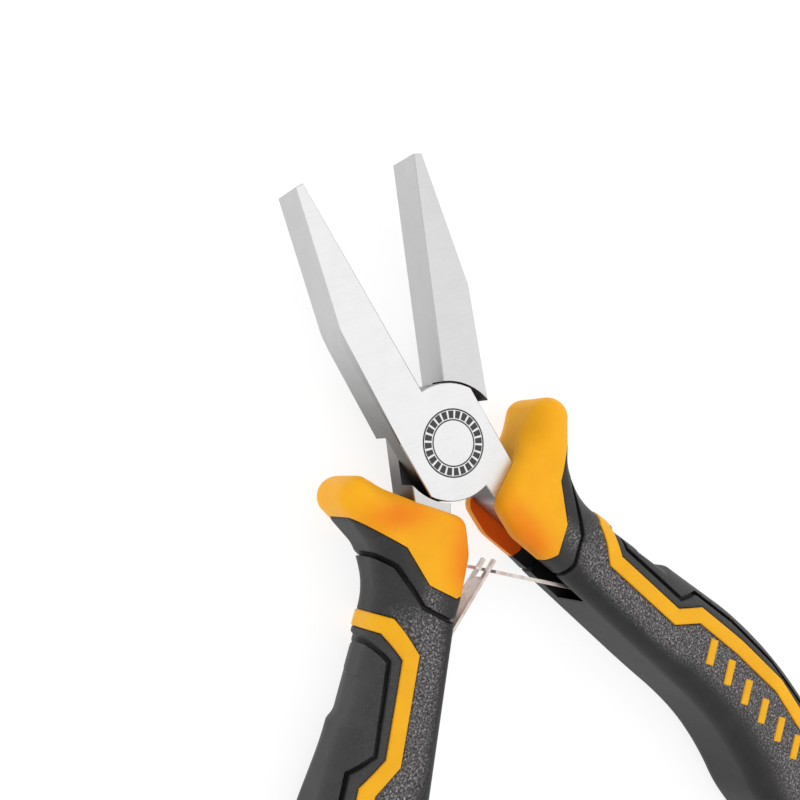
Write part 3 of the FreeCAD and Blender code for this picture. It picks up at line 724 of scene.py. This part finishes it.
# painted shade: the rear half is a darker copy of the same steel
rear_steel_painted_darker = steel_material("rear_steel_painted_darker", (0.55, 0.55, 0.55), 0.36, math.radians(-12),
                            painted_shading=(-0.002, 0.010, 1.0))
spring = steel_material("spring_steel", (0.60, 0.55, 0.52), 0.33, math.radians(70), stain=0.5)
orange = guard_material("guard", (1.0, 0.44, 0.005), (0.86, 0.125, 0.0005))
amber = guard_material("inlay", (0.94, 0.45, 0.008), (0.80, 0.32, 0.004), fine=0.5)
black = sleeve_material("sleeve")
ink = print_material("print")

for node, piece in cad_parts.items():
    if node.endswith("_leaf"):
        finish = spring
    elif node == "rear_half":
        finish = rear_steel_painted_darker
    elif node in ("front_half", "pivot_pin"):
        finish = steel
    else:
        continue
    piece.data.materials.clear()
    piece.data.materials.append(finish)

# ---- grips ----


def sleeve_attributes(points, front):
    x, y, z = points.T
    facts = plan(x, y, ("grooves", "channel"))
    # painted shade: the grooves, the seam round the inlay, the border and the edges against the steel are
    # painted dark
    painted_groove_shade = np.maximum(1 - ease(0.2, 0.38, facts["collar"]), 1 - ease(0.18, 0.36, facts["panel"]))
    painted_groove_shade = np.maximum(painted_groove_shade, 0.8 * (1 - ease(0.05, 0.16, np.abs(facts["inlay"]))))
    painted_groove_shade = np.maximum(painted_groove_shade, 0.7 * ease(-0.2, -0.03, facts["border"]))
    painted_groove_shade = np.maximum(painted_groove_shade, np.where(np.abs(channel(facts, z)) < 0.1, 0.8, 0.0))
    # coarse between the inlay and the middle of the inner side, but not on the panel or round the neck
    inner, beside = -facts["outline"], np.maximum(facts["inlay"], 0)
    beyond = line_distance(x, y, outer_area, True)
    outside = beyond < 0
    coarse = 1 - ease(0.42, 0.78, beside / np.maximum(beside + np.maximum(inner, 0), 0.1))
    coarse = np.where(outside, 0.05, coarse) * ease(3.4, 5.4, np.abs(z))
    neck = ease(9.5, 7.0, x + 0.25 * (y + 20.0))
    coarse = coarse * np.maximum(neck, ease(-17.5, -22.5, y))
    # painted light: paler on the outer panel and half as pale round the top
    painted_outer_light = np.maximum(ease(0.5, -0.5, beyond), 0.5 * ease(-24.0, -20.0, y))
    return {"painted_groove_shade": painted_groove_shade, "coarse": np.clip(coarse, 0, 1), "painted_outer_light": painted_outer_light}


def guard_attributes(points, front):
    x, y, z = points.T
    room = channel(plan(x, y, ("channel",)), z)
    # painted shade: the channel's walls against the steel are painted deep red-orange
    painted_shade = np.where((np.abs(room) < 0.06) & (np.abs(z) < STEEL / 2 + 0.1), 1.0, 0.0)
    # painted shade: soft darker patches low on the guard, along its inner edge, and on the left guard by
    # the thumb stop
    faces = ease(2.0, 5.0, np.abs(z))
    low = 0.55 * patch(x, y, (2.0, -16.2), (2.2, 3.6)) * faces
    edge = 0.35 * patch(x, y, (1.6, -11.5), (1.6, 3.5)) * faces
    dip = 0.0 if front else 0.62 * patch(x, y, (9.8, -7.7), (4.6, 1.9)) * faces
    return {"painted_shade": np.clip(np.maximum(painted_shade, low + edge + dip), 0, 1)}


def plain_attributes(points, front):
    facts = plan(points[:, 0], points[:, 1], ("inlay",))
    # painted shade: the inlay is painted deeper orange along its edges
    return {"painted_shade": 0.6 * ease(-0.25, 0.0, facts["inlay"])}


def bar_attributes(points, front):
    return {"painted_shade": np.zeros(len(points))}


PIECES = (
    ("guard", guard_solid, ("channel",), (-0.6, -21.0, -6.6), (17.8, -1.8, 6.6), 0.22, guard_attributes,
     orange, "guard", "core"),
    ("sleeve", sleeve_solid, ("grooves", "channel"), (-0.6, -80.6, -6.6), (30.6, -4.8, 6.6), 0.26,
     sleeve_attributes, black, "sleeve", "sleeve"),
    ("inlay", inlay_solid, ("inlay",), (8.8, -72.4, -6.6), (28.4, -17.0, 6.6), 0.17, plain_attributes,
     amber, "inlay", "inlay"),
    ("bars", bars_solid, ("bars",), (14.0, -69.6, -6.6), (25.6, -41.0, 6.6), 0.16, bar_attributes,
     amber, "inlay", "bars"),
)
for label, solid, wanted, low, high, step, attribute_maker, finish, slot, node in PIECES:
    points, quads = contour(solid, wanted, low, high, step)
    for side, body, front in (("right", "front", True), ("left", "rear", False)):
        name = f"{side}_{label}"
        attributes = attribute_maker(points, front)
        piece = add(name, quad_mesh(name, points, quads, attributes, front), finish)
        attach(piece, body)
        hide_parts(f"{side}_grip_{node}")
        print(name, len(piece.data.vertices), "vertices", len(piece.data.polygons), "faces")

# ---- the ring printed on the joint: even ticks between two lines ----

PRINT_TOP, PRINT_FOOT = STEEL + 0.012, STEEL - 0.02
RING_CENTRE = (0.25, -0.25)
TICKS, TICK_HALF_ANGLE, TICK_RADII = 24, 0.095, (3.14, 4.10)
CIRCLES, CIRCLE_PARTS = ((4.18, 4.38), (2.84, 3.02)), 48


def ring_prism(rings):
    """A closed thin prism over each polygon, given in the row frame in millimetres."""
    verts, faces = [], []
    for ring in rings:
        base, count = len(verts), len(ring)
        verts += [(x, y, PRINT_FOOT) for x, y in ring] + [(x, y, PRINT_TOP) for x, y in ring]
        faces.append(tuple(base + i for i in range(count))[::-1])
        faces.append(tuple(base + count + i for i in range(count)))
        for i in range(count):
            j = (i + 1) % count
            faces.append((base + i, base + j, base + count + j, base + count + i))
    mesh = bpy.data.meshes.new("joint_print")
    mesh.from_pydata([tuple(c * MM for c in v) for v in verts], [], faces)
    mesh.update()
    return mesh


def sector(inner, outer, start, end, steps):
    angles = np.linspace(start, end, steps + 1)
    x, y = RING_CENTRE
    out = [(x + outer * math.cos(t), y + outer * math.sin(t)) for t in angles]
    back = [(x + inner * math.cos(t), y + inner * math.sin(t)) for t in angles[::-1]]
    return out + back


rings = []
for i in range(TICKS):
    middle = 2 * math.pi * i / TICKS
    rings.append(sector(*TICK_RADII, middle - TICK_HALF_ANGLE, middle + TICK_HALF_ANGLE, 3))
for inner, outer in CIRCLES:
    for i in range(CIRCLE_PARTS):
        start = 2 * math.pi * i / CIRCLE_PARTS
        rings.append(sector(inner, outer, start, start + 2 * math.pi / CIRCLE_PARTS, 3))
badge = add("joint_print", ring_prism(rings), ink)
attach(badge, "front")

# ---- floor, light and camera ----

floor_mesh = bpy.data.meshes.new("floor")
FLOOR_Z = (STEEL / 2 - GRIP_HALF - 0.1) * MM
FLOOR_REACH = 2.0
floor_mesh.from_pydata([(x * FLOOR_REACH, y * FLOOR_REACH, FLOOR_Z)
                        for x, y in ((-1, -1), (1, -1), (1, 1), (-1, 1))], [], [(0, 1, 2, 3)])
floor = add("floor", floor_mesh, floor_material("floor"))


def area_light(name, where, towards, size, power, size_y=None):
    light = bpy.data.lights.new(name, "AREA")
    light.shape = "RECTANGLE"
    light.size = size * MM
    light.size_y = (size_y or size) * MM
    light.energy = power
    obj = bpy.data.objects.new(name, light)
    bpy.context.scene.collection.objects.link(obj)
    obj.location = Vector(where) * MM
    obj.rotation_euler = (Vector(towards) - Vector(where)).to_track_quat("-Z", "Y").to_euler()
    return obj


area_light("key", (150, -10, 330), (0, -20, 0), 360, 0.24)
area_light("fill", (-260, 120, 260), (0, -20, 0), 300, 0.06)

world = bpy.data.worlds.new("studio")
bpy.context.scene.world = world
world.use_nodes = True
sky = world.node_tree.nodes["Background"]
sky.inputs["Color"].default_value = (1, 1, 1, 1)
sky.inputs["Strength"].default_value = 0.84

CAMERA_PLACE, CAMERA_TURN, CAMERA_LENS = (-61.967, 18.935, 122.59), (4.106, -26.235, -20.789), 47.7
camera_data = bpy.data.cameras.new("camera")
camera = bpy.data.objects.new("camera", camera_data)
bpy.context.scene.collection.objects.link(camera)
camera.location = Vector(CAMERA_PLACE) * MM
camera.rotation_euler = [math.radians(a) for a in CAMERA_TURN]
camera_data.sensor_width = 36
camera_data.lens = CAMERA_LENS
camera_data.clip_start = 0.001
camera_data.clip_end = 20
bpy.context.scene.camera = camera
bpy.context.scene.view_settings.view_transform = "Standard"
